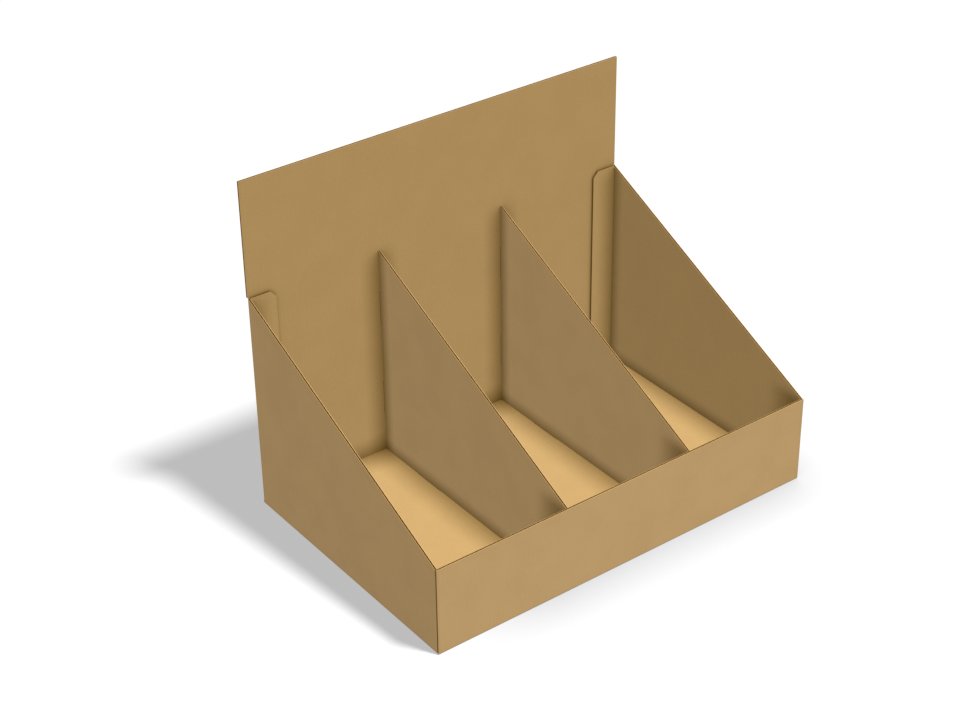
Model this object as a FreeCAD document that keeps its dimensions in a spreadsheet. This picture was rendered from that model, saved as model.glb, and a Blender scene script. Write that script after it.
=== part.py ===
import FreeCAD, Part
import math
import os
import Sketcher

# A counter display stand folded and glued from one sheet of thin corrugated board, with two
# loose dividers that plug into slots in its floor and its back panel.
# Millimetres. X is the width, the lip faces -Y, Z is up. The origin is the middle of the
# underside of the tray.

doc = FreeCAD.newDocument("display_stand")

# Driving dimensions
SIZES = [
    ("tray_width", 300.0, "outside width of the tray"),
    ("tray_depth", 200.0, "outside depth, from the lip to the back panel"),
    ("back_height", 240.0, "height of the back panel"),
    ("side_height", 158.0, "height of the sides and dividers where they meet the back"),
    ("lip_height", 64.0, "height of the lip along the front"),
    ("board", 1.5, "thickness of the board"),
    ("crease_round", 0.6, "outside radius of a fold"),
    ("glue_line", 0.1, "gap between a glued flap and the panel it is stuck to"),
    ("back_flap_width", 20.0, "width of the glue flaps on the back panel"),
    ("front_flap_width", 24.0, "width of the glue flaps behind the lip"),
    ("flap_chamfer_width", 4.0, "chamfer on a flap's free corners, across"),
    ("flap_chamfer_height", 4.4, "chamfer on a flap's free corners, up and down"),
    ("flap_lift", 1.0, "gap between a flap's lower edge and the floor"),
    ("front_flap_drop", 5.0, "how far a front flap's top stays below the lip's edge"),
    ("middle_bay", 100.0, "distance between the middles of the two dividers"),
    ("tab_length", 26.0, "length of a divider's tab along its edge"),
    ("tab_slack", 0.25, "clearance all round a tab in its slot"),
    ("tab_recess", 0.2, "how far a tab's end stays inside the outer face"),
    ("tab_bevel", 0.8, "bevel on a tab's corners, which leads it into its slot"),
    ("lip_slack", 0.2, "clearance between a divider's front edge and the lip"),
    ("floor_tab_front", 52.0, "middle of the front floor tab, from the lip's outer face"),
    ("floor_tab_back", 148.0, "middle of the rear floor tab, from the lip's outer face"),
    ("back_tab_low", 44.0, "middle of the lower back tab, above the table"),
    ("back_tab_high", 114.0, "middle of the upper back tab, above the table"),
]

sheet = doc.addObject("Spreadsheet::Sheet", "Sizes")
for row, (alias, value, meaning) in enumerate(SIZES, start=1):
    sheet.set(f"A{row}", meaning)
    sheet.set(f"B{row}", str(value))
    sheet.setAlias(f"B{row}", alias)
doc.recompute()


def size(alias):
    """The present value of one driving dimension."""
    return float(sheet.get(alias))


def plane_of(body, role):
    """One of the body's own origin planes."""
    return next(feature for feature in body.Origin.OriginFeatures if feature.Role == role)


def add_outline(sketch, corners):
    """A closed outline of straight edges. Each corner is a pair of formulas, across and up."""
    first = sketch.GeometryCount
    count = len(corners)
    # a regular polygon to start with, which the dimensions then pull into shape
    turns = [2 * math.pi * i / count for i in range(count)]
    start = [FreeCAD.Vector(math.cos(turn), math.sin(turn), 0) for turn in turns]
    for i in range(count):
        sketch.addGeometry(Part.LineSegment(start[i], start[(i + 1) % count]), False)
    for i in range(count):
        following = first + (i + 1) % count
        sketch.addConstraint(Sketcher.Constraint("Coincident", first + i, 2, following, 1))
    for i, (across, up) in enumerate(corners):
        for kind, formula in (("DistanceX", across), ("DistanceY", up)):
            index = sketch.addConstraint(Sketcher.Constraint(kind, -1, 1, first + i, 1, 0.0))
            sketch.setExpression(f"Constraints[{index}]", formula)


def new_sketch(body, name, role, offset, outlines):
    """A sketch on an origin plane of the body, moved along the plane's normal by a formula."""
    sketch = body.newObject("Sketcher::SketchObject", name)
    sketch.AttachmentSupport = (plane_of(body, role), [""])
    sketch.MapMode = "FlatFace"
    sketch.setExpression(".AttachmentOffset.Base.z", offset)
    for corners in outlines:
        add_outline(sketch, corners)
    return sketch


def new_panel(body, name, role, offset, corners, towards_normal):
    """One panel of board: its outline, padded by the thickness of the board."""
    sketch = new_sketch(body, name + "_outline", role, offset, [corners])
    pad = body.newObject("PartDesign::Pad", name)
    pad.Profile = sketch
    pad.Reversed = not towards_normal
    pad.setExpression("Length", "Sizes.board")
    return pad


def new_slots(body, name, role, outlines, towards_normal):
    """Slots cut through whatever panels lie on one side of an origin plane."""
    sketch = new_sketch(body, name + "_outline", role, "0 mm", outlines)
    cut = body.newObject("PartDesign::Pocket", name)
    cut.Profile = sketch
    cut.Type = "ThroughAll"
    cut.Reversed = towards_normal
    return cut


def mirror_to_right(body, name, features):
    """Repeat features of the left side on the right side."""
    mirrored = body.newObject("PartDesign::Mirrored", name)
    mirrored.Originals = features
    mirrored.MirrorPlane = (plane_of(body, "YZ_Plane"), [""])
    body.Tip = mirrored
    return mirrored


def rectangle(left, right, low, high):
    return [(left, low), (right, low), (right, high), (left, high)]


# Places that more than one panel uses, as formulas. The origin is half way along the depth.
LEFT = "-Sizes.tray_width / 2"
RIGHT = "Sizes.tray_width / 2"
INNER_LEFT = f"{LEFT} + Sizes.board"
INNER_RIGHT = f"{RIGHT} - Sizes.board"
FRONT = "-Sizes.tray_depth / 2"
BACK = "Sizes.tray_depth / 2"
LIP_INSIDE = f"{FRONT} + Sizes.board"
BACK_INSIDE = f"{BACK} - Sizes.board"
SIDE_FRONT = f"{LIP_INSIDE} + Sizes.glue_line"
SIDE_BACK = f"{BACK_INSIDE} - Sizes.glue_line"

# Middles of the dividers' tabs: along the depth on the floor, and up the back panel.
FLOOR_TABS = [f"{FRONT} + Sizes.floor_tab_front", f"{FRONT} + Sizes.floor_tab_back"]
BACK_TABS = ["Sizes.back_tab_low", "Sizes.back_tab_high"]


def flap_corners(width, top):
    """A glue flap, hinged to the left side, with both corners of its free edge cut off."""
    bottom = "Sizes.board + Sizes.flap_lift"
    free_edge = f"{LEFT} + {width}"
    return [
        (LEFT, bottom),
        (f"{free_edge} - Sizes.flap_chamfer_width", bottom),
        (free_edge, f"{bottom} + Sizes.flap_chamfer_height"),
        (free_edge, f"{top} - Sizes.flap_chamfer_height"),
        (f"{free_edge} - Sizes.flap_chamfer_width", top),
        (LEFT, top),
    ]


def fold_edges(shape):
    """The outside edges of the tray's folds: four round the floor, one at each glued corner."""
    half_width = size("tray_width") / 2
    half_depth = size("tray_depth") / 2
    corner = half_depth - size("board") - size("glue_line")
    near = 1e-4

    def is_fold(edge):
        box = edge.BoundBox
        level = box.ZMax < near
        at_side = box.XLength < near and abs(abs(box.Center.x) - half_width) < near
        at_end = box.YLength < near and abs(abs(box.Center.y) - half_depth) < near
        at_corner = box.YLength < near and abs(abs(box.Center.y) - corner) < near
        along_width = level and at_end
        along_depth = level and at_side and box.YLength > half_depth
        upright = at_side and at_corner and box.ZLength > size("board")
        return along_width or along_depth or upright

    return [f"Edge{i}" for i, edge in enumerate(shape.Edges, start=1) if is_fold(edge)]


def make_tray():
    """The folded sheet: floor, lip, back panel, two sides, and a glue flap at each corner."""
    body = doc.addObject("PartDesign::Body", "tray")
    body.Label = "tray"

    floor = rectangle(INNER_LEFT, INNER_RIGHT, FRONT, BACK)
    new_panel(body, "floor", "XY_Plane", "0 mm", floor, True)
    lip = rectangle(LEFT, RIGHT, "0 mm", "Sizes.lip_height")
    new_panel(body, "lip", "XZ_Plane", f"-({FRONT})", lip, False)
    # full width above the sides, and one board narrower at each side below their tops, so that
    # it closes flush between the folded corners
    back_corners = [
        (INNER_LEFT, "0 mm"),
        (INNER_RIGHT, "0 mm"),
        (INNER_RIGHT, "Sizes.side_height"),
        (RIGHT, "Sizes.side_height"),
        (RIGHT, "Sizes.back_height"),
        (LEFT, "Sizes.back_height"),
        (LEFT, "Sizes.side_height"),
        (INNER_LEFT, "Sizes.side_height"),
    ]
    new_panel(body, "back_panel", "XZ_Plane", f"-({BACK})", back_corners, True)

    side_corners = [
        (SIDE_FRONT, "0 mm"),
        (SIDE_BACK, "0 mm"),
        (SIDE_BACK, "Sizes.side_height"),
        (SIDE_FRONT, "Sizes.lip_height"),
    ]
    side = new_panel(body, "side", "YZ_Plane", LEFT, side_corners, True)
    corners = flap_corners("Sizes.back_flap_width", "Sizes.side_height")
    back_flap = new_panel(body, "back_flap", "XZ_Plane", f"-({SIDE_BACK})", corners, True)
    corners = flap_corners("Sizes.front_flap_width", "Sizes.lip_height - Sizes.front_flap_drop")
    front_flap = new_panel(body, "front_flap", "XZ_Plane", f"-({SIDE_FRONT})", corners, False)
    mirror_to_right(body, "right_side", [side, back_flap, front_flap])

    slot_left = "-Sizes.middle_bay / 2 - Sizes.board / 2 - Sizes.tab_slack"
    slot_right = "-Sizes.middle_bay / 2 + Sizes.board / 2 + Sizes.tab_slack"
    reach = "(Sizes.tab_length / 2 + Sizes.tab_slack)"
    floor_slots = []
    for middle in FLOOR_TABS:
        floor_slots.append(rectangle(slot_left, slot_right, f"{middle} - {reach}", f"{middle} + {reach}"))
    back_slots = []
    for middle in BACK_TABS:
        back_slots.append(rectangle(slot_left, slot_right, f"{middle} - {reach}", f"{middle} + {reach}"))
    left_floor_slots = new_slots(body, "floor_slots", "XY_Plane", floor_slots, True)
    left_back_slots = new_slots(body, "back_slots", "XZ_Plane", back_slots, False)
    sharp = mirror_to_right(body, "right_slots", [left_floor_slots, left_back_slots])
    doc.recompute()

    folds = body.newObject("PartDesign::Fillet", "folds")
    folds.Base = (sharp, fold_edges(sharp.Shape))
    folds.setExpression("Radius", "Sizes.crease_round")
    body.Tip = folds
    return body


def tab(edge, end, inward, middle):
    """One tab on a straight edge of a divider, as pairs: along the edge, and away from it.

    The edge and the tab's end are levels, and inward is the sign from the end to the edge.
    """
    first = f"{middle} - Sizes.tab_length / 2"
    last = f"{middle} + Sizes.tab_length / 2"
    shoulder = f"{end} {inward} Sizes.tab_bevel"
    return [
        (first, edge),
        (first, shoulder),
        (f"{first} + Sizes.tab_bevel", end),
        (f"{last} - Sizes.tab_bevel", end),
        (last, shoulder),
        (last, edge),
    ]


def divider_corners():
    """A divider seen from the side: it stands on the floor and its top follows the sides."""
    front_edge = f"{LIP_INSIDE} + Sizes.lip_slack"
    corners = [(front_edge, "Sizes.board")]
    for middle in FLOOR_TABS:
        corners += tab("Sizes.board", "Sizes.tab_recess", "+", middle)
    corners.append((BACK_INSIDE, "Sizes.board"))
    for middle in BACK_TABS:
        back_tab = tab(BACK_INSIDE, f"{BACK} - Sizes.tab_recess", "-", middle)
        corners += [(depth, height) for height, depth in back_tab]
    corners.append((BACK_INSIDE, "Sizes.side_height"))
    corners.append((front_edge, "Sizes.lip_height"))
    return corners


def make_divider(name, side):
    """One loose divider; side is -1 for the left one and 1 for the right one."""
    body = doc.addObject("PartDesign::Body", name)
    body.Label = name
    pad = new_panel(body, name + "_sheet", "YZ_Plane", "-Sizes.board / 2", divider_corners(), True)
    body.setExpression(".Placement.Base.x", f"{side} * Sizes.middle_bay / 2")
    body.Tip = pad
    return body


parts = [make_tray()]
for name, side in (("divider_left", -1), ("divider_right", 1)):
    parts.append(make_divider(name, side))
doc.recompute()

for thing in doc.Objects:
    if "Invalid" in thing.State or "Error" in thing.State:
        raise RuntimeError(f"{thing.Name} did not rebuild")
for part in parts:
    if part.Shape.isNull() or not part.Shape.isValid() or len(part.Shape.Solids) != 1:
        raise RuntimeError(f"{part.Label} is not one sound solid")

os.makedirs("parts", exist_ok=True)
for part in parts:
    part.Shape.exportStep(f"parts/{part.Label}.step")
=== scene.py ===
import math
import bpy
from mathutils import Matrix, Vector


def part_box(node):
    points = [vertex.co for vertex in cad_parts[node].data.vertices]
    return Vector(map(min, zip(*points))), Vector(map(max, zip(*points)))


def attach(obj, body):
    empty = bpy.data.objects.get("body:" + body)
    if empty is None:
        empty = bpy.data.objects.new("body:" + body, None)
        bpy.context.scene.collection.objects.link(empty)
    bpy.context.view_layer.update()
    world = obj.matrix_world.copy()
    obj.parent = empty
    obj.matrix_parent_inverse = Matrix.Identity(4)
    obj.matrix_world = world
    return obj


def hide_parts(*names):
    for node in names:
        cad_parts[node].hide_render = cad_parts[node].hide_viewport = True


bl_info = {
    "name": "Cardboard Display Stand",
    "version": (1, 0, 0),
    "blender": (4, 5, 0),
    "location": "3D View > Sidebar > Display Stand",
    "description": "Builds a counter display stand of fine-flute kraft board, with two loose dividers",
    "category": "Add Mesh",
}

import bmesh
import bpy
from bpy.props import FloatProperty, FloatVectorProperty, PointerProperty
from mathutils import Matrix, Vector
from mathutils.geometry import tessellate_polygon

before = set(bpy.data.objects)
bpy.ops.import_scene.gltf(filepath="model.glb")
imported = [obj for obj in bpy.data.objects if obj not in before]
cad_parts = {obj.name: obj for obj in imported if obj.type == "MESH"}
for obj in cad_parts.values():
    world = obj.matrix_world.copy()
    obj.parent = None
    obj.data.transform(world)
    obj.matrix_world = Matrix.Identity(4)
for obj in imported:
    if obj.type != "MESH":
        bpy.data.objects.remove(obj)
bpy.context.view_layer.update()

# Metres, in the frame's own axes: X is the width, the lip faces -Y, Z is up, and the origin is
# the middle of the underside. The main sizes are read off the frame.
MM = 0.001
ALL_PARTS = "root"
tray_low, tray_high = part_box("tray")
divider_low, divider_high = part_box("divider_left")


def rounded(value):
    """The frame's single-precision numbers, rounded to a thousandth of a millimetre."""
    return round(value, 6)


def length(name, description, default):
    return FloatProperty(
        name=name,
        description=description,
        default=default,
        min=0.0,
        precision=5,
        subtype="DISTANCE",
        unit="LENGTH",
    )


def angle(name, description, degrees):
    return FloatProperty(
        name=name, description=description, default=math.radians(degrees), subtype="ANGLE", unit="ROTATION"
    )


def amount(name, description, default):
    return FloatProperty(name=name, description=description, default=default, min=0.0)


def colour(name, description, default):
    return FloatVectorProperty(
        name=name, description=description, default=default, min=0.0, max=1.0, size=3, subtype="COLOR"
    )


class StandSizes(bpy.types.PropertyGroup):
    """The stand's outline, as the blank is cut and folded."""

    width: length("Width", "Outside width of the tray", rounded(tray_high.x - tray_low.x))
    depth: length("Depth", "Outside depth, from lip to back panel", rounded(tray_high.y - tray_low.y))
    back_height: length("Back height", "Height of the back panel", rounded(tray_high.z))
    side_height: length("Side height", "Height of sides and dividers at the back", rounded(divider_high.z))
    lip_height: length("Lip height", "Height of the lip along the front", 64 * MM)
    board: length("Board", "Thickness of the board", rounded(divider_high.x - divider_low.x))
    fold_round: length("Fold round", "Outside radius of a fold", 0.6 * MM)
    glue_line: length("Glue line", "Gap between a glued flap and its panel", 0.1 * MM)
    back_flap: length("Back flap", "Width of the glue flaps on the back panel", 20 * MM)
    front_flap: length("Front flap", "Width of the glue flaps behind the lip", 24 * MM)
    chamfer_across: length("Chamfer across", "Cut-off corner of a flap, across", 4.0 * MM)
    chamfer_up: length("Chamfer up", "Cut-off corner of a flap, up and down", 4.4 * MM)
    flap_lift: length("Flap lift", "Gap between a flap's lower edge and the floor", 1.0 * MM)
    flap_drop: length("Flap drop", "How far a front flap stays below the lip's edge", 5.0 * MM)
    middle_bay: length(
        "Middle bay",
        "Distance between the dividers' middles",
        rounded(-divider_low.x - divider_high.x),
    )
    tab_length: length("Tab length", "Length of a divider's tab along its edge", 26 * MM)
    tab_slack: length("Tab slack", "Clearance all round a tab in its slot", 0.25 * MM)
    tab_recess: length("Tab recess", "How far a tab's end stays inside the outer face", 0.2 * MM)
    tab_bevel: length("Tab bevel", "Bevel on a tab's corners", 0.8 * MM)
    lip_slack: length("Lip slack", "Clearance between a divider and the lip", 0.2 * MM)
    floor_tab_front: length("Front floor tab", "Middle of the front floor tab, from the lip", 52 * MM)
    floor_tab_back: length("Rear floor tab", "Middle of the rear floor tab, from the lip", 148 * MM)
    back_tab_low: length("Lower back tab", "Middle of the lower back tab, above the table", 44 * MM)
    back_tab_high: length("Upper back tab", "Middle of the upper back tab, above the table", 114 * MM)


class BoardMake(bpy.types.PropertyGroup):
    """How the corrugated board itself is made."""

    liner: length("Liner", "Thickness of each outer sheet of paper", 0.30 * MM)
    fluting: length("Fluting", "Thickness of the wavy sheet between the liners", 0.17 * MM)
    pitch: length("Flute pitch", "Distance from one flute to the next", 3.4 * MM)
    trim: length("Trim", "How far the wavy sheet ends behind a cut edge", 0.25 * MM)
    outer_colour: colour("Outer colour", "Colour of the liner on the tray's outside", (0.42, 0.270, 0.113))
    inner_colour: colour("Inner colour", "Colour of the liner on the tray's inside", (0.352, 0.220, 0.079))
    light_fibre: colour("Light fibre", "Colour of pale fibres in the liners", (0.54, 0.37, 0.175))
    dark_fibre: colour("Dark fibre", "Colour of dark fibres in the liners", (0.25, 0.15, 0.055))
    # Painted light on the cut edges: one cut paper, in a lit colour on the liner nearer to the light and a
    # shaded colour on the other, which also colours the folds' cut faces.
    painted_lit_cut: colour("Painted lit cut", "Cut edge of the liner that is nearer to the light", (0.48, 0.32, 0.15))
    painted_shaded_cut: colour("Painted shaded cut", "Cut edge of the liner on the other side", (0.33, 0.18, 0.045))
    # The wavy sheet is darker recycled paper, and its colour is made darker still as painted shade for the
    # recess between the liners.
    fluting_colour_and_shade: colour("Fluting colour", "Colour of the wavy sheet", (0.23, 0.115, 0.02))
    # Painted shade in inner corners and behind the lip's edge: what is left of the tone, and how far it
    # spreads.
    painted_shade_colour: colour("Painted shade colour", "What is left of the tone in an inner corner", (0.47, 0.43, 0.27))
    side_reach: length("Side shade", "Spread of a corner's shade on faces along the depth", 11 * MM)
    back_reach: length("Back shade", "Spread of a corner's shade on faces along the width", 16 * MM)
    floor_reach: length("Floor shade", "Spread of a corner's shade on level faces", 22 * MM)
    nook_reach: length("Nook shade", "Spread of the shade behind the lip's edge", 36 * MM)


class StageSettings(bpy.types.PropertyGroup):
    """Camera and light. The camera's place is the one that the photograph was taken from."""

    camera_x: FloatProperty(name="Camera X", description="Camera place", default=-0.71896, unit="LENGTH")
    camera_y: FloatProperty(name="Camera Y", description="Camera place", default=-0.91747, unit="LENGTH")
    camera_z: FloatProperty(name="Camera Z", description="Camera place", default=0.83927, unit="LENGTH")
    heading: angle("Heading", "Camera's turn from straight at the lip", 37.958)
    tilt: angle("Tilt", "How far the camera looks down", 32.275)
    focal_length: FloatProperty(
        name="Focal length", description="In millimetres, on a sensor 36 mm wide", default=79.89, min=1.0
    )
    shift: FloatProperty(name="Shift", description="Sideways lens shift, in image widths", default=-0.0504)
    key_height: angle("Key height", "How high the key light stands", 65.2)
    key_turn: angle("Key turn", "How far to the right of the lip the key light stands", 30.2)
    key_spread: angle("Key spread", "Apparent size of the key light, which softens its shadow", 8.0)
    key_strength: amount("Key strength", "Light that the key light gives the stand", 2.2)
    shadow_strength: amount("Shadow strength", "Light that the key light gives the floor", 2.22)
    fill_height: angle("Fill height", "How high the fill light stands", 52.4)
    fill_turn: angle("Fill turn", "How far to the right of the lip the fill light stands", -36.6)
    fill_strength: amount("Fill strength", "Light that the fill light gives the stand", 3.43)
    back_height: angle("Back height", "How high the back light stands", 20.0)
    back_turn: angle("Back turn", "How far round from the lip the back light stands", 145.0)
    back_strength: amount("Back strength", "Light that the back light gives the stand", 1.4)
    sky_strength: amount("Sky strength", "Soft light from all round", 0.35)
    floor_size: length("Floor size", "Side of the square floor", 12.0)
    floor_colour: colour("Floor colour", "Colour of the floor", (0.83, 0.83, 0.83))
    floor_glow: amount("Floor glow", "Light that the floor gives off, which fills the shadow on it", 0.22)
    contact_reach: length("Contact reach", "How far the floor is shaded in front of the stand", 40 * MM)
    contact_shade: colour("Contact shade", "What is left of the floor's tone at the lip", (0.68, 0.68, 0.68))


def settings():
    scene = bpy.context.scene
    return scene.stand_sizes, scene.stand_board, scene.stand_stage


# Sheets of paper

OUTSIDE, INSIDE, PAINTED_LIT_CUT, PAINTED_SHADED_CUT, WAVE = range(5)

# Faces round a fold and along one flute, and how far a flute's crest sinks into its liner.
BEND_STEPS = 8
WAVE_STEPS = 8
GLUE_SINK = 0.02 * MM
SHARP_ANGLE = math.radians(30)

# Slow waves that shift the flutes: how far, in radians of a flute, how fast and from where.
WANDER = ((0.30, 131.0, 0.0), (0.22, 57.0, 1.0))

# Level direction of the light. A board's liner on this side gets the painted lit colour on its cut edge, the
# other liner the painted shaded colour.
LIGHT_SIDE = Vector((0.3, -0.9, 0.0))


class Panel:
    """A flat panel of board, by the plane of its outer face.

    Points are given across and along the flutes, and by their depth below the outer face.
    """

    def __init__(self, corner, across, along, outward):
        self.corner = Vector(corner)
        self.across = Vector(across)
        self.along = Vector(along)
        self.outward = Vector(outward)

    def point(self, across, along, depth):
        return self.corner + self.across * across + self.along * along - self.outward * depth


class PaperMesh:
    """Closed sheets of paper, gathered in one mesh with a finish for each kind of face."""

    def __init__(self):
        self.mesh = bmesh.new()
        self.map = self.mesh.loops.layers.uv.new("board")

    def add_face(self, corners, places, finish, smooth=False):
        face = self.mesh.faces.new(corners)
        face.material_index = finish
        face.smooth = smooth
        for loop, place in zip(face.loops, places):
            loop[self.map].uv = place

    def add_plate(self, panel, loops, near, far, near_finish, far_finish, rim_finish):
        """A flat sheet with an outline and holes, between two depths of the panel."""
        flat = [point for loop in loops for point in loop]
        near_side = [self.mesh.verts.new(panel.point(*point, near)) for point in flat]
        far_side = [self.mesh.verts.new(panel.point(*point, far)) for point in flat]
        if len(loops) == 1:
            pieces = [range(len(flat))]
        else:
            pieces = tessellate_polygon([[Vector((*point, 0.0)) for point in loop] for loop in loops])
        for side, finish in ((near_side, near_finish), (far_side, far_finish)):
            for piece in pieces:
                self.add_face([side[i] for i in piece], [flat[i] for i in piece], finish)
        start = 0
        for loop in loops:
            for i in range(len(loop)):
                a = start + i
                b = start + (i + 1) % len(loop)
                rim = [near_side[a], near_side[b], far_side[b], far_side[a]]
                self.add_face(rim, [flat[a], flat[b], flat[b], flat[a]], rim_finish)
            start += len(loop)

    def add_bend(self, start, end, first, last, outer, inner):
        """Paper carried round a fold: a quarter turn about the line from start to end.

        It turns from the first direction to the last, and outer and inner are its radii.
        """
        start, end, first, last = map(Vector, (start, end, first, last))
        rings = []
        for step in range(BEND_STEPS + 1):
            turn = math.pi / 2 * step / BEND_STEPS
            radial = first * math.cos(turn) + last * math.sin(turn)
            places = [centre + radial * radius for centre in (start, end) for radius in (outer, inner)]
            rings.append(([self.mesh.verts.new(place) for place in places], outer * turn))
        run = (end - start).length
        for (a, here), (b, there) in zip(rings, rings[1:]):
            sweep = [(here, 0.0), (here, run), (there, run), (there, 0.0)]
            self.add_face([a[0], a[2], b[2], b[0]], sweep, OUTSIDE, smooth=True)
            self.add_face([a[1], a[3], b[3], b[1]], sweep, WAVE, smooth=True)
            # The fold's cut faces take the painted shaded cut colour.
            self.add_face([a[0], a[1], b[1], b[0]], sweep, PAINTED_SHADED_CUT)
            self.add_face([a[2], a[3], b[3], b[2]], sweep, PAINTED_SHADED_CUT)
        for ring, here in (rings[0], rings[-1]):
            corners = [ring[0], ring[1], ring[3], ring[2]]
            self.add_face(corners, [(here, 0.0), (here, 0.0), (here, run), (here, run)], PAINTED_SHADED_CUT)

    def add_fluting(self, panel, loops, board, make):
        """The wavy sheet that fills an outline with holes, strip by strip."""
        edge_left = min(point[0] for point in loops[0]) + make.trim
        edge_right = max(point[0] for point in loops[0]) - make.trim
        for left, right, low, high in strips(loops):
            stops = wave_stops(max(left, edge_left), min(right, edge_right), make.pitch / WAVE_STEPS)
            rings = []
            for across in stops:
                depth, lean = wave(across, board, make)
                side = Vector((-lean, 1.0)).normalized() * make.fluting / 2
                bottom = low(across) + make.trim
                top = max(high(across) - make.trim, bottom + make.trim)
                ring = []
                for sign in (-1, 1):
                    for along in (bottom, top):
                        place = panel.point(across + sign * side.x, along, depth + sign * side.y)
                        ring.append(self.mesh.verts.new(place))
                rings.append((ring, across, bottom, top))
            for (a, u, low_a, high_a), (b, w, low_b, high_b) in zip(rings, rings[1:]):
                patch = [(u, low_a), (u, high_a), (w, high_b), (w, low_b)]
                self.add_face([a[0], a[1], b[1], b[0]], patch, WAVE, smooth=True)
                self.add_face([a[2], a[3], b[3], b[2]], patch, WAVE, smooth=True)
                self.add_face([a[0], a[2], b[2], b[0]], patch, WAVE)
                self.add_face([a[1], a[3], b[3], b[1]], patch, WAVE)
            for ring, u, bottom, top in (rings[0], rings[-1]):
                patch = [(u, bottom), (u, top), (u, top), (u, bottom)]
                self.add_face([ring[0], ring[1], ring[3], ring[2]], patch, WAVE)

    def add_board(self, panel, outer, inner, fluting, board, make):
        """Both liners and the fluting of one panel, each with its own outline and holes.

        The cut edge of the liner that is nearer to the light gets the painted lit colour, the other one the
        painted shaded colour.
        """
        cuts = (PAINTED_LIT_CUT, PAINTED_SHADED_CUT) if panel.outward.dot(LIGHT_SIDE) > 0 else (PAINTED_SHADED_CUT, PAINTED_LIT_CUT)
        self.add_plate(panel, outer, 0.0, make.liner, OUTSIDE, WAVE, cuts[0])
        self.add_plate(panel, inner, board - make.liner, board, WAVE, INSIDE, cuts[1])
        self.add_fluting(panel, fluting, board, make)

    def finish(self, name, materials):
        bmesh.ops.recalc_face_normals(self.mesh, faces=self.mesh.faces)
        data = bpy.data.meshes.new(name)
        self.mesh.to_mesh(data)
        self.mesh.free()
        data.set_sharp_from_angle(angle=SHARP_ANGLE)
        for material in materials:
            data.materials.append(material)
        piece = bpy.data.objects.new(name, data)
        piece.visible_diffuse = False
        bpy.context.scene.collection.objects.link(piece)
        return piece


def wave(across, board, make):
    """Depth of the wavy sheet's middle, and its slope, at a place across the flutes.

    The flutes wander a little, as the rollers leave them.
    """
    swing = board / 2 - make.liner - make.fluting / 2 + GLUE_SINK
    wander = sum(far * math.sin(across * fast + origin) for far, fast, origin in WANDER)
    phase = 2 * math.pi * across / make.pitch + wander
    return board / 2 + swing * math.sin(phase), swing * math.cos(phase) * 2 * math.pi / make.pitch


def wave_stops(left, right, step):
    """Both ends of a strip, and evenly spaced places between them, none close to an end."""
    closest = step / 4
    number = math.floor(left / step) + 1
    between = []
    while number * step < right - closest:
        if number * step > left + closest:
            between.append(number * step)
        number += 1
    return [left, *between, right]


def strips(loops):
    """Cuts an outline with holes into strips along the flutes.

    Each is given by its two sides and, as functions of the place across, its low and high ends.
    """
    sides = []
    for loop in loops:
        for a, b in zip(loop, loop[1:] + loop[:1]):
            if a[0] != b[0]:
                sides.append((min(a, b), max(a, b)))
    stops = sorted({point[0] for loop in loops for point in loop})
    found = []
    for left, right in zip(stops, stops[1:]):
        middle = (left + right) / 2
        crossed = [line_through(a, b) for a, b in sides if a[0] < middle < b[0]]
        crossed.sort(key=lambda line: line(middle))
        for low, high in zip(crossed[::2], crossed[1::2]):
            found.append((left, right, low, high))
    return found


def line_through(a, b):
    slope = (b[1] - a[1]) / (b[0] - a[0])
    return lambda across: a[1] + slope * (across - a[0])


def rectangle(left, right, low, high):
    return [(left, low), (right, low), (right, high), (left, high)]


# The stand's outlines


def slot_rectangles(sizes, middles):
    """The slots for both dividers' tabs, at the given places along the panel."""
    reach = sizes.tab_length / 2 + sizes.tab_slack
    room = sizes.board / 2 + sizes.tab_slack
    slots = []
    for side in (-1, 1):
        across = side * sizes.middle_bay / 2
        slots += [rectangle(across - room, across + room, m - reach, m + reach) for m in middles]
    return slots


def floor_tab_places(sizes):
    return [sizes.floor_tab_front - sizes.depth / 2, sizes.floor_tab_back - sizes.depth / 2]


def flap_outline(sizes, hinge, width, top, side):
    """A glue flap that starts at its hinge line, with both corners of its free edge cut off."""
    low = sizes.board + sizes.flap_lift
    free = -sizes.width / 2 + width
    points = [
        (hinge, low),
        (free - sizes.chamfer_across, low),
        (free, low + sizes.chamfer_up),
        (free, top - sizes.chamfer_up),
        (free - sizes.chamfer_across, top),
        (hinge, top),
    ]
    return [(-side * across, up) for across, up in points]


def back_outline(sizes, low):
    """The back panel: full width above the sides, and a board narrower at each side below."""
    wide = sizes.width / 2
    narrow = wide - sizes.board
    return [
        (-narrow, low),
        (narrow, low),
        (narrow, sizes.side_height),
        (wide, sizes.side_height),
        (wide, sizes.back_height),
        (-wide, sizes.back_height),
        (-wide, sizes.side_height),
        (-narrow, sizes.side_height),
    ]


def side_top(sizes, place):
    """Height of a side's sloping edge at a place along the depth."""
    front = -sizes.depth / 2 + sizes.board + sizes.glue_line
    share = (place - front) / (-2 * front)
    return sizes.lip_height + (sizes.side_height - sizes.lip_height) * share


def side_outline(sizes, low, front_flap_top, end, notch):
    """A side panel, with its edges stepped in by a notch where the flaps' folds take over."""
    flap_low = sizes.board + sizes.flap_lift
    return [
        (-end, low),
        (end, low),
        (end, flap_low),
        (end - notch, flap_low),
        (end - notch, side_top(sizes, end - notch)),
        (-end, side_top(sizes, -end)),
        (-end, front_flap_top),
        (-end + notch, front_flap_top),
        (-end + notch, flap_low),
        (-end, flap_low),
    ]


def tab(edge, end, middle, sizes):
    """A tab's points, as pairs: along the edge, and away from it."""
    first = middle - sizes.tab_length / 2
    last = middle + sizes.tab_length / 2
    shoulder = end + math.copysign(sizes.tab_bevel, edge - end)
    return [
        (first, edge),
        (first, shoulder),
        (first + sizes.tab_bevel, end),
        (last - sizes.tab_bevel, end),
        (last, shoulder),
        (last, edge),
    ]


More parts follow.
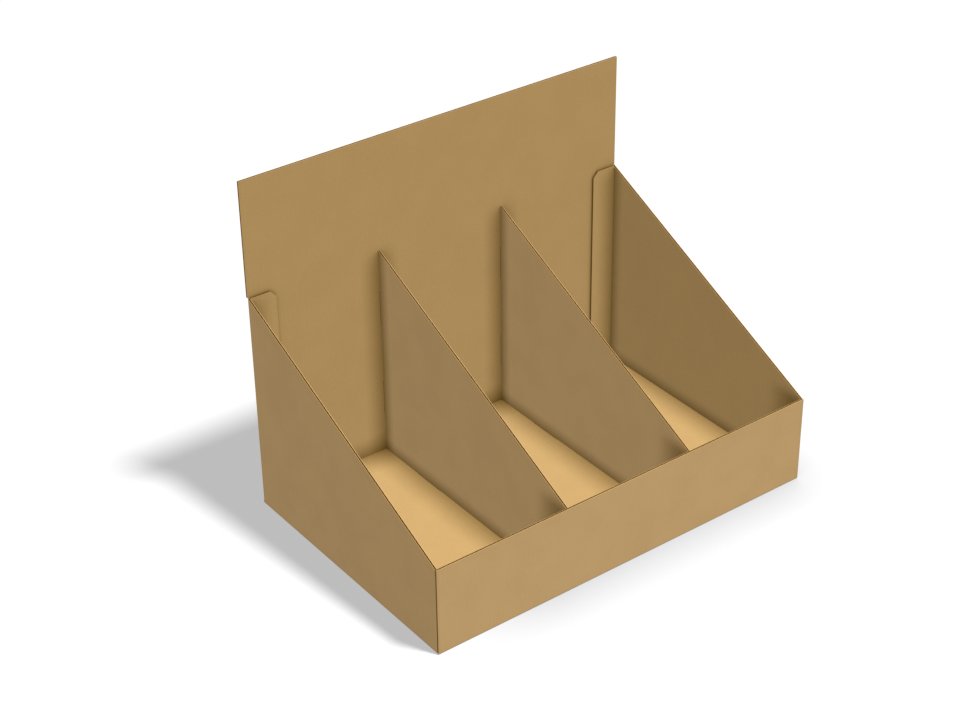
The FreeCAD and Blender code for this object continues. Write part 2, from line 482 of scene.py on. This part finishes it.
def divider_outline(sizes):
    """A divider seen from the side: it stands on the floor and its top follows the sides."""
    front = -sizes.depth / 2 + sizes.board + sizes.lip_slack
    back = sizes.depth / 2 - sizes.board
    points = [(front, sizes.board)]
    for middle in floor_tab_places(sizes):
        points += tab(sizes.board, sizes.tab_recess, middle, sizes)
    points.append((back, sizes.board))
    for middle in (sizes.back_tab_low, sizes.back_tab_high):
        points += [(out, up) for up, out in tab(back, sizes.depth / 2 - sizes.tab_recess, middle, sizes)]
    points.append((back, sizes.side_height))
    points.append((front, sizes.lip_height))
    return points


# The pieces


def tray_mesh(sizes, make):
    """The folded blank: floor, lip, back panel, two sides and a glue flap at each corner."""
    paper = PaperMesh()
    board = sizes.board
    liner = make.liner
    bend = sizes.fold_round
    half_width = sizes.width / 2
    half_depth = sizes.depth / 2
    inner_width = half_width - board
    inner_depth = half_depth - board
    seam = inner_depth - sizes.glue_line
    radii = (bend, bend - liner)

    lip = Panel((0, -half_depth, 0), (1, 0, 0), (0, 0, 1), (0, -1, 0))
    outer = [rectangle(-half_width, half_width, bend, sizes.lip_height)]
    inner = [rectangle(-half_width, half_width, board - liner, sizes.lip_height)]
    paper.add_board(lip, outer, inner, outer, board, make)

    back = Panel((0, half_depth, 0), (1, 0, 0), (0, 0, 1), (0, 1, 0))
    slots = slot_rectangles(sizes, (sizes.back_tab_low, sizes.back_tab_high))
    outer = [back_outline(sizes, bend), *slots]
    inner = [back_outline(sizes, board - liner), *slots]
    paper.add_board(back, outer, inner, outer, board, make)

    floor = Panel((0, 0, 0), (1, 0, 0), (0, 1, 0), (0, 0, -1))
    slots = slot_rectangles(sizes, floor_tab_places(sizes))
    straight_x = half_width - bend
    straight_y = half_depth - bend
    outer = [rectangle(-straight_x, straight_x, -straight_y, straight_y), *slots]
    inner = [rectangle(-inner_width, inner_width, -inner_depth, inner_depth), *slots]
    paper.add_board(floor, outer, inner, inner, board, make)

    down = (0, 0, -1)
    for reach, y, forward in ((half_width, -straight_y, (0, -1, 0)), (inner_width, straight_y, (0, 1, 0))):
        paper.add_bend((-reach, y, bend), (reach, y, bend), forward, down, *radii)

    front_flap_top = sizes.lip_height - sizes.flap_drop
    flap_low = board + sizes.flap_lift
    for side in (-1, 1):
        outward = (side, 0, 0)
        panel = Panel((side * half_width, 0, 0), (0, 1, 0), (0, 0, 1), outward)
        outer = [side_outline(sizes, bend, front_flap_top, seam, bend)]
        inner = [side_outline(sizes, board - liner, front_flap_top, seam, liner)]
        fluting = [side_outline(sizes, bend, front_flap_top, seam - bend, 0.0)]
        paper.add_board(panel, outer, inner, drop_repeats(fluting), board, make)
        x = side * straight_x
        paper.add_bend((x, -seam, bend), (x, seam, bend), outward, down, *radii)
        flaps = ((-1, sizes.front_flap, front_flap_top), (1, sizes.back_flap, sizes.side_height))
        for end, width, top in flaps:
            facing = (0, end, 0)
            flap = Panel((0, end * seam, 0), (1, 0, 0), (0, 0, 1), facing)
            outer = [flap_outline(sizes, -straight_x, width, top, side)]
            inner = [flap_outline(sizes, -inner_width, width, top, side)]
            paper.add_board(flap, outer, inner, inner, board, make)
            y = end * (seam - bend)
            paper.add_bend((x, y, flap_low), (x, y, top), outward, facing, *radii)
    return paper


def drop_repeats(loops):
    """Leaves out points that lie on the one before them."""
    kept = []
    for loop in loops:
        kept.append([point for before, point in zip(loop[-1:] + loop[:-1], loop) if point != before])
    return kept


def divider_mesh(sizes, make, side):
    paper = PaperMesh()
    face = side * sizes.middle_bay / 2 - sizes.board / 2
    panel = Panel((face, 0, 0), (0, 1, 0), (0, 0, 1), (-1, 0, 0))
    outline = [divider_outline(sizes)]
    paper.add_board(panel, outline, outline, outline, sizes.board, make)
    return paper


# Finishes

WHITE = (1.0, 1.0, 1.0, 1.0)

# Pulp in the paper: how much of each kind comes to a metre, the fibres across and along the
# flutes, and how far the second kind of fibre is turned.
CLOUDS = 38.0
GRAINS = 2600.0
SPECKS = 260.0
LONG_FIBRES = (420.0, 3800.0)
CROSS_FIBRES = (2400.0, 520.0)
CROSS_TURN = 0.6

# How far from a fold the liner is rubbed, and how much darker it is there and on the glued crests.
WEAR_REACH = 2.2 * MM
WEAR_SHARE = 0.22
CREST_SHARE = 0.03

# The nook's painted shade is full up to its start behind the front face, and fades out over its blur above
# and below the lip's edge. Faces that are further in than the skin are inner ones.
NOOK_START = 5 * MM
NOOK_BLUR = 6 * MM
SKIN = 1 * MM

# Right in a square corner, half of what a face looks out on is hidden.
CORNER_HIDDEN = 0.5
SHADE_SAMPLES = 8


def new_group(name, inputs, outputs):
    """An empty shader node group. Inputs and outputs are (name, socket kind, default)."""
    group = bpy.data.node_groups.new(name, "ShaderNodeTree")
    for in_out, sockets in (("INPUT", inputs), ("OUTPUT", outputs)):
        for socket_name, kind, default in sockets:
            socket = group.interface.new_socket(socket_name, in_out=in_out, socket_type="NodeSocket" + kind)
            if default is not None:
                socket.default_value = default
    return group, group.nodes.new("NodeGroupInput"), group.nodes.new("NodeGroupOutput")


def feed(tree, target, values):
    """Sets or links a node's inputs, by name or number."""
    for socket, value in values.items():
        if isinstance(value, bpy.types.NodeSocket):
            tree.links.new(value, target.inputs[socket])
        else:
            target.inputs[socket].default_value = value


def node(tree, kind, values=None, **options):
    """A new node with its options and inputs set."""
    made = tree.nodes.new("ShaderNode" + kind)
    for option, value in options.items():
        setattr(made, option, value)
    feed(tree, made, values or {})
    return made


def calculate(tree, operation, *values):
    return node(tree, "Math", dict(enumerate(values)), operation=operation).outputs[0]


def ramp(tree, value, low, high):
    """0 below the low value, 1 above the high one, and a smooth rise between."""
    made = node(tree, "MapRange", {"Value": value, 1: low, 2: high}, interpolation_type="SMOOTHSTEP")
    return made.outputs[0]


def fall(tree, value, low, high):
    """1 below the low value, 0 above the high one, and a smooth fall between."""
    return calculate(tree, "SUBTRACT", 1.0, ramp(tree, value, low, high))


def blend(tree, share, first, second, **options):
    values = {0: share, 6: first, 7: second}
    return node(tree, "Mix", values, data_type="RGBA", **options).outputs[2]


def noise(tree, place, scale, detail, **values):
    values = {"Vector": place, "Scale": scale, "Detail": detail, **values}
    return node(tree, "TexNoise", values).outputs[0]


def stretch(tree, place, per_metre, turn=0.0):
    """A place on the board, scaled across and along the flutes and then turned."""
    values = {"Vector": place, "Scale": (*per_metre, 1.0), "Rotation": (0.0, 0.0, turn)}
    return node(tree, "Mapping", values).outputs[0]


def bump(tree, height, strength, distance, **values):
    """A bumped normal. One that it adds to can be given as Normal."""
    values = {"Height": height, "Strength": strength, "Distance": distance, **values}
    return node(tree, "Bump", values).outputs[0]


def paper_fibres_group():
    """Pulp: soft clouds, long fibres that lie across the flutes, and odd dark specks."""
    inputs = [
        ("Paper", "Color", None),
        ("Pale", "Color", None),
        ("Dark", "Color", None),
        ("Clouds", "Float", 0.1),
        ("Fibres", "Float", 0.2),
        ("Specks", "Float", 0.3),
    ]
    outputs = [("Color", "Color", None), ("Height", "Float", None)]
    group, given, out = new_group("paper fibres", inputs, outputs)
    place = group.nodes.new("ShaderNodeTexCoord").outputs["Object"]
    flat = node(group, "UVMap", uv_map="board").outputs[0]

    cloud = noise(group, place, CLOUDS, 3.0, Roughness=0.55)
    grain = noise(group, place, GRAINS, 2.0)
    fibre = noise(group, stretch(group, flat, LONG_FIBRES), 1.0, 3.0, Distortion=0.9)
    cross = noise(group, stretch(group, flat, CROSS_FIBRES, CROSS_TURN), 1.0, 2.0)
    speck = node(group, "TexVoronoi", {"Vector": place, "Scale": SPECKS, "Randomness": 1.0})
    spot = fall(group, speck.outputs["Distance"], 0.06, 0.13)
    drawn = node(group, "SeparateColor", {0: speck.outputs["Color"]}).outputs[0]
    rare = ramp(group, drawn, 0.80, 0.86)

    marks = [
        (ramp(group, cloud, 0.35, 0.68), "Clouds", "Dark"),
        (ramp(group, fibre, 0.52, 0.72), "Fibres", "Pale"),
        (ramp(group, cross, 0.56, 0.74), "Fibres", "Dark"),
        (calculate(group, "MULTIPLY", spot, rare), "Specks", "Dark"),
    ]
    tone = given.outputs["Paper"]
    for mask, strength, mark in marks:
        share = calculate(group, "MULTIPLY", mask, given.outputs[strength])
        tone = blend(group, share, tone, given.outputs[mark])

    coarse = calculate(group, "MULTIPLY", fibre, 0.6)
    fine = calculate(group, "MULTIPLY", grain, 0.4)
    feed(group, out, {"Color": tone, "Height": calculate(group, "ADD", coarse, fine)})
    return group


def flute_lines_group():
    """Faint lines where the liner is glued to the crests of the wavy sheet."""
    group, given, out = new_group("flute lines", [("Pitch", "Float", 0.0034)], [("Height", "Float", None)])
    flat = node(group, "UVMap", uv_map="board").outputs[0]
    across = node(group, "SeparateXYZ", {0: flat}).outputs[0]
    flutes = calculate(group, "DIVIDE", across, given.outputs["Pitch"])
    turns = calculate(group, "MULTIPLY", flutes, 2 * math.pi)
    height = calculate(group, "MULTIPLY_ADD", calculate(group, "SINE", turns), 0.5, 0.5)
    feed(group, out, {"Height": height})
    return group


def fold_wear_group():
    """1 along the tray's folds and corners, fading to 0 within a short reach.

    An edge is near where two of the distances from side, end and table are short.
    """
    inputs = [("Half Width", "Float", 0.15), ("Half Depth", "Float", 0.1), ("Reach", "Float", 0.003)]
    group, given, out = new_group("fold wear", inputs, [("Mask", "Float", None)])
    place = node(group, "SeparateXYZ", {0: group.nodes.new("ShaderNodeTexCoord").outputs["Object"]})
    from_middle = [calculate(group, "ABSOLUTE", place.outputs[axis]) for axis in (0, 1)]
    from_side = calculate(group, "SUBTRACT", given.outputs["Half Width"], from_middle[0])
    from_end = calculate(group, "SUBTRACT", given.outputs["Half Depth"], from_middle[1])
    lesser = calculate(group, "MINIMUM", from_side, from_end)
    greater = calculate(group, "MAXIMUM", from_side, from_end)
    second = calculate(group, "MAXIMUM", lesser, calculate(group, "MINIMUM", greater, place.outputs[2]))
    feed(group, out, {"Mask": fall(group, second, 0.0, given.outputs["Reach"])})
    return group


def lip_nook_shade_group():
    """Mask of painted shade: 1 in the nooks behind the lip's edge, on the upright faces inside, fading to 0
    over the reach.
    """
    inputs = [
        ("Half Width", "Float", 0.15),
        ("Half Depth", "Float", 0.1),
        ("Lip Height", "Float", 0.064),
        ("Reach", "Float", 0.036),
    ]
    group, given, out = new_group("lip nook painted shade", inputs, [("Mask", "Float", None)])
    coordinates = group.nodes.new("ShaderNodeTexCoord")
    place = node(group, "SeparateXYZ", {0: coordinates.outputs["Object"]})
    facing = node(group, "SeparateXYZ", {0: coordinates.outputs["Normal"]})
    behind = calculate(group, "ADD", place.outputs[1], given.outputs["Half Depth"])
    near = fall(group, behind, NOOK_START, given.outputs["Reach"])
    above = calculate(group, "SUBTRACT", place.outputs[2], given.outputs["Lip Height"])
    low = fall(group, above, -NOOK_BLUR, NOOK_BLUR)
    inner_width = calculate(group, "SUBTRACT", given.outputs["Half Width"], SKIN)
    inside = calculate(group, "LESS_THAN", calculate(group, "ABSOLUTE", place.outputs[0]), inner_width)
    upright = calculate(group, "MULTIPLY", inside, calculate(group, "ABSOLUTE", facing.outputs[0]))
    mask = calculate(group, "MULTIPLY", calculate(group, "MULTIPLY", near, low), upright)
    feed(group, out, {"Mask": mask})
    return group


def painted_corner_shade_group():
    """Painted shade: a tone made darker and browner close to an inner corner, where less light comes in.

    The reach is given for faces across each axis. Added is a hidden share of painted shade from elsewhere.
    """
    inputs = [
        ("Tone", "Color", None),
        ("Shade", "Color", None),
        ("Reach", "Vector", None),
        ("Added", "Float", 0.0),
    ]
    group, given, out = new_group("painted corner shade", inputs, [("Color", "Color", None)])
    tone = given.outputs["Tone"]
    normal = group.nodes.new("ShaderNodeTexCoord").outputs["Normal"]
    facing = node(group, "VectorMath", {0: normal}, operation="ABSOLUTE").outputs[0]
    reach = node(group, "VectorMath", {0: facing, 1: given.outputs["Reach"]}, operation="DOT_PRODUCT")
    near = {"Distance": reach.outputs["Value"]}
    open_share = node(group, "AmbientOcclusion", near, samples=SHADE_SAMPLES).outputs["AO"]
    hidden = calculate(group, "SUBTRACT", 1.0, open_share)
    most_hidden = calculate(group, "MAXIMUM", hidden, given.outputs["Added"])
    share = calculate(group, "MULTIPLY", most_hidden, 1 / CORNER_HIDDEN)
    shaded = blend(group, 1.0, tone, given.outputs["Shade"], blend_type="MULTIPLY")
    mixed = blend(group, share, tone, shaded, clamp_factor=False, clamp_result=True)
    feed(group, out, {"Color": mixed})
    return group


def rgba(value):
    return (*value, 1.0)


def new_material(name):
    material = bpy.data.materials.new(name)
    material.use_nodes = True
    return material, material.node_tree, material.node_tree.nodes["Principled BSDF"]


def place_group(tree, name, maker, values):
    """Puts a shared node group in a tree, and makes the group the first time."""
    group = bpy.data.node_groups.get(name) or maker()
    return node(tree, "Group", node_tree=group, values=values)


def place_fibres(tree, paper, pale, dark, clouds, fibres, specks):
    colours = {"Paper": rgba(paper), "Pale": rgba(pale), "Dark": rgba(dark)}
    shares = {"Clouds": clouds, "Fibres": fibres, "Specks": specks}
    return place_group(tree, "paper fibres", paper_fibres_group, {**colours, **shares})


def paint_corner_shade(tree, tone, shade, reach, added=0.0):
    """The tone, with painted shade in its corners."""
    values = {"Tone": tone, "Shade": shade, "Reach": reach, "Added": added}
    return place_group(tree, "painted corner shade", painted_corner_shade_group, values).outputs["Color"]


# Painted corner shade for the board's paper, spread as far as the board's reaches.
def paint_paper_shade(tree, tone, make, added=0.0):
    reach = (make.side_reach, make.back_reach, make.floor_reach)
    return paint_corner_shade(tree, tone, rgba(make.painted_shade_colour), reach, added)


def kraft_liner(name, paper, sizes, make):
    """Matt brown liner paper over fine flutes, rubbed a little darker along the folds, with painted shade in
    inner corners and behind the lip's edge.
    """
    material, tree, shader = new_material(name)
    dark = rgba(make.dark_fibre)
    halves = {"Half Width": sizes.width / 2, "Half Depth": sizes.depth / 2}
    fibres = place_fibres(tree, paper, make.light_fibre, make.dark_fibre, 0.10, 0.18, 0.25)
    lines = place_group(tree, "flute lines", flute_lines_group, {"Pitch": make.pitch})
    wear = place_group(tree, "fold wear", fold_wear_group, {**halves, "Reach": WEAR_REACH})
    lip = {"Lip Height": sizes.lip_height, "Reach": make.nook_reach}
    nook = place_group(tree, "lip nook painted shade", lip_nook_shade_group, {**halves, **lip})

    worn = calculate(tree, "MULTIPLY", wear.outputs["Mask"], WEAR_SHARE)
    tone = blend(tree, worn, fibres.outputs["Color"], dark)
    crest = calculate(tree, "MULTIPLY", lines.outputs["Height"], CREST_SHARE)
    tone = blend(tree, crest, tone, dark)
    # Painted shade behind the lip's edge, added to the painted corner shade.
    nook_painted_shade = calculate(tree, "MULTIPLY", nook.outputs["Mask"], CORNER_HIDDEN)
    rough = node(tree, "MapRange", {"Value": fibres.outputs["Height"], 3: 0.80, 4: 0.95}).outputs[0]
    washboard = bump(tree, lines.outputs["Height"], 0.35, 0.03 * MM)
    finish = {
        "Base Color": paint_paper_shade(tree, tone, make, nook_painted_shade),
        "Roughness": rough,
        "Specular IOR Level": 0.25,
        "Normal": bump(tree, fibres.outputs["Height"], 0.5, 0.05 * MM, Normal=washboard),
    }
    feed(tree, shader, finish)
    return material


def cut_paper(name, paper, make):
    """The liners' cut edges, furrier than their faces, with painted corner shade; their given colour carries
    the painted light on the cut.
    """
    material, tree, shader = new_material(name)
    fibres = place_fibres(tree, paper, make.light_fibre, make.dark_fibre, 0.3, 0.3, 0.2)
    finish = {
        "Base Color": paint_paper_shade(tree, fibres.outputs["Color"], make),
        "Roughness": 0.95,
        "Specular IOR Level": 0.15,
        "Normal": bump(tree, fibres.outputs["Height"], 0.8, 0.08 * MM),
    }
    feed(tree, shader, finish)
    return material


def fluting_paper(name, make):
    """The wavy sheet: thinner, darker recycled paper, darkened further as painted shade for the recess
    between the liners.
    """
    material, tree, shader = new_material(name)
    fibres = place_fibres(tree, make.fluting_colour_and_shade, make.dark_fibre, make.fluting_colour_and_shade, 0.3, 0.3, 0.2)
    finish = {
        "Base Color": paint_paper_shade(tree, fibres.outputs["Color"], make),
        "Roughness": 0.92,
        "Specular IOR Level": 0.2,
        "Normal": bump(tree, fibres.outputs["Height"], 0.5, 0.05 * MM),
    }
    feed(tree, shader, finish)
    return material


def board_materials(sizes, make, outside, inside):
    """The finishes of a board, in the order of the faces' finish numbers.

    The two liners are given by their names and colours.
    """
    makers = [
        (outside[0], lambda name: kraft_liner(name, outside[1], sizes, make)),
        (inside[0], lambda name: kraft_liner(name, inside[1], sizes, make)),
        ("painted lit cut edge", lambda name: cut_paper(name, make.painted_lit_cut, make)),
        ("painted shaded cut edge", lambda name: cut_paper(name, make.painted_shaded_cut, make)),
        ("fluting paper", lambda name: fluting_paper(name, make)),
    ]
    return [bpy.data.materials.get(name) or maker(name) for name, maker in makers]


# Operators


class STAND_OT_make_tray(bpy.types.Operator):
    """Build the folded tray from its liners and fluting"""

    bl_idname = "stand.make_tray"
    bl_label = "Make Tray"
    bl_options = {"REGISTER", "UNDO"}

    def execute(self, context):
        sizes, make, _ = settings()
        liners = (("outer kraft liner", make.outer_colour), ("inner kraft liner", make.inner_colour))
        piece = tray_mesh(sizes, make).finish("folded_tray", board_materials(sizes, make, *liners))
        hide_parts("tray")
        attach(piece, ALL_PARTS)
        return {"FINISHED"}


class STAND_OT_make_dividers(bpy.types.Operator):
    """Build the two loose dividers, whose tabs sit in the tray's slots"""

    bl_idname = "stand.make_dividers"
    bl_label = "Make Dividers"
    bl_options = {"REGISTER", "UNDO"}

    def execute(self, context):
        sizes, make, _ = settings()
        liner = ("outer kraft liner", make.outer_colour)
        for side, name in ((-1, "left"), (1, "right")):
            paper = divider_mesh(sizes, make, side)
            piece = paper.finish(f"{name}_divider_board", board_materials(sizes, make, liner, liner))
            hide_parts(f"divider_{name}")
            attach(piece, ALL_PARTS)
        return {"FINISHED"}


# How far the floor lies below the stand, and where along the width its painted contact shade sets in:
# none at the stand's left end, where the shadow starts, and all of it at the second place.
FLOOR_GAP = 0.1 * MM
CONTACT_RISE = (-150 * MM, -50 * MM)


def make_camera(stage):
    """A camera at the photograph's place, turned by its heading and tilt."""
    data = bpy.data.cameras.new("camera")
    data.lens = stage.focal_length
    data.shift_x = stage.shift
    camera = bpy.data.objects.new("camera", data)
    level = math.cos(stage.tilt)
    ahead = Vector((math.sin(stage.heading) * level, math.cos(stage.heading) * level, -math.sin(stage.tilt)))
    right = Vector((math.cos(stage.heading), -math.sin(stage.heading), 0.0))
    up = right.cross(ahead)
    turn = Matrix((right, up, -ahead)).transposed().to_4x4()
    camera.matrix_world = Matrix.Translation((stage.camera_x, stage.camera_y, stage.camera_z)) @ turn
    bpy.context.scene.collection.objects.link(camera)
    bpy.context.scene.camera = camera


def make_light(name, height, turn, strength, spread, shadow):
    """A distant light, placed by its height and by its turn to the right of the lip."""
    data = bpy.data.lights.new(name, "SUN")
    data.energy = strength
    data.angle = spread
    data.use_shadow = shadow
    lamp = bpy.data.objects.new(name, data)
    level = math.cos(height)
    towards = Vector((math.sin(turn) * level, -math.cos(turn) * level, math.sin(height)))
    lamp.rotation_mode = "QUATERNION"
    lamp.rotation_quaternion = towards.to_track_quat("Z", "Y")
    bpy.context.scene.collection.objects.link(lamp)
    return lamp


def light_receivers(lamps, floor, state):
    """Lets the lamps reach only the floor, or everything but the floor."""
    receivers = bpy.data.collections.new(f"floor, {state.lower()}d")
    receivers.objects.link(floor)
    receivers.collection_objects[0].light_linking.link_state = state
    for lamp in lamps:
        lamp.light_linking.receiver_collection = receivers


def make_lights(stage, floor):
    """A key light whose shadow falls on the floor only, and two plain fills for the stand.

    The light in the photograph is as even inside the bays as outside, so nothing shadows the stand.
    """
    key = (stage.key_height, stage.key_turn)
    spread = stage.key_spread
    shadow = make_light("floor key light", *key, stage.shadow_strength, spread, True)
    stand = [
        make_light("key light", *key, stage.key_strength, spread, False),
        make_light("fill light", stage.fill_height, stage.fill_turn, stage.fill_strength, spread, False),
        make_light("back light", stage.back_height, stage.back_turn, stage.back_strength, spread, False),
    ]
    light_receivers([shadow], floor, "INCLUDE")
    light_receivers(stand, floor, "EXCLUDE")


def make_sky(stage):
    """Even soft light from all round, which the camera sees as white."""
    world = bpy.data.worlds.new("studio")
    world.use_nodes = True
    background = world.node_tree.nodes["Background"]
    seen = world.node_tree.nodes.new("ShaderNodeLightPath").outputs["Is Camera Ray"]
    strength = node(world.node_tree, "MapRange", {"Value": seen, 3: stage.sky_strength, 4: 1.0}).outputs[0]
    feed(world.node_tree, background, {"Color": WHITE, "Strength": strength})
    bpy.context.scene.world = world


def make_floor(stage):
    """A pale floor just below the stand, with painted shade on it close to the lip."""
    mesh = bpy.data.meshes.new("floor")
    half = stage.floor_size / 2
    corners = [(x, y, -FLOOR_GAP) for x, y in rectangle(-half, half, -half, half)]
    mesh.from_pydata(corners, [], [(0, 1, 2, 3)])
    floor = bpy.data.objects.new("floor", mesh)
    floor.visible_diffuse = False
    floor.visible_shadow = False
    bpy.context.scene.collection.objects.link(floor)
    material, tree, shader = new_material("pale floor")
    place = node(tree, "SeparateXYZ", {0: tree.nodes.new("ShaderNodeTexCoord").outputs["Object"]})
    in_front = ramp(tree, place.outputs[0], *CONTACT_RISE)
    contact = blend(tree, in_front, WHITE, rgba(stage.contact_shade))
    finish = {
        "Base Color": paint_corner_shade(tree, rgba(stage.floor_colour), contact, (stage.contact_reach,) * 3),
        "Roughness": 0.9,
        "Specular IOR Level": 0.0,
        "Emission Color": WHITE,
        "Emission Strength": stage.floor_glow,
    }
    feed(tree, shader, finish)
    mesh.materials.append(material)
    return floor


class STAND_OT_set_stage(bpy.types.Operator):
    """Set up the camera, the pale floor and the soft studio light"""

    bl_idname = "stand.set_stage"
    bl_label = "Set Stage"
    bl_options = {"REGISTER", "UNDO"}

    def execute(self, context):
        stage = settings()[2]
        make_camera(stage)
        floor = make_floor(stage)
        make_lights(stage, floor)
        make_sky(stage)
        context.scene.view_settings.view_transform = "Standard"
        return {"FINISHED"}


class STAND_PT_sidebar(bpy.types.Panel):
    """Buttons and sizes for the display stand"""

    bl_idname = "STAND_PT_sidebar"
    bl_label = "Display Stand"
    bl_space_type = "VIEW_3D"
    bl_region_type = "UI"
    bl_category = "Display Stand"

    def draw(self, context):
        for operator in OPERATORS:
            self.layout.operator(operator.bl_idname)
        for group in settings():
            box = self.layout.box()
            for name in group.bl_rna.properties.keys():
                if name not in ("rna_type", "name"):
                    box.prop(group, name)


OPERATORS = (STAND_OT_set_stage, STAND_OT_make_tray, STAND_OT_make_dividers)
PROPERTY_GROUPS = {"stand_sizes": StandSizes, "stand_board": BoardMake, "stand_stage": StageSettings}


def register():
    for group in PROPERTY_GROUPS.values():
        bpy.utils.register_class(group)
    for name, group in PROPERTY_GROUPS.items():
        setattr(bpy.types.Scene, name, PointerProperty(type=group))
    for cls in (*OPERATORS, STAND_PT_sidebar):
        bpy.utils.register_class(cls)


def unregister():
    for cls in reversed((*OPERATORS, STAND_PT_sidebar)):
        bpy.utils.unregister_class(cls)
    for name, group in PROPERTY_GROUPS.items():
        delattr(bpy.types.Scene, name)
        bpy.utils.unregister_class(group)


def main():
    register()
    bpy.ops.stand.set_stage()
    bpy.ops.stand.make_tray()
    bpy.ops.stand.make_dividers()


if __name__ == "__main__":
    main()
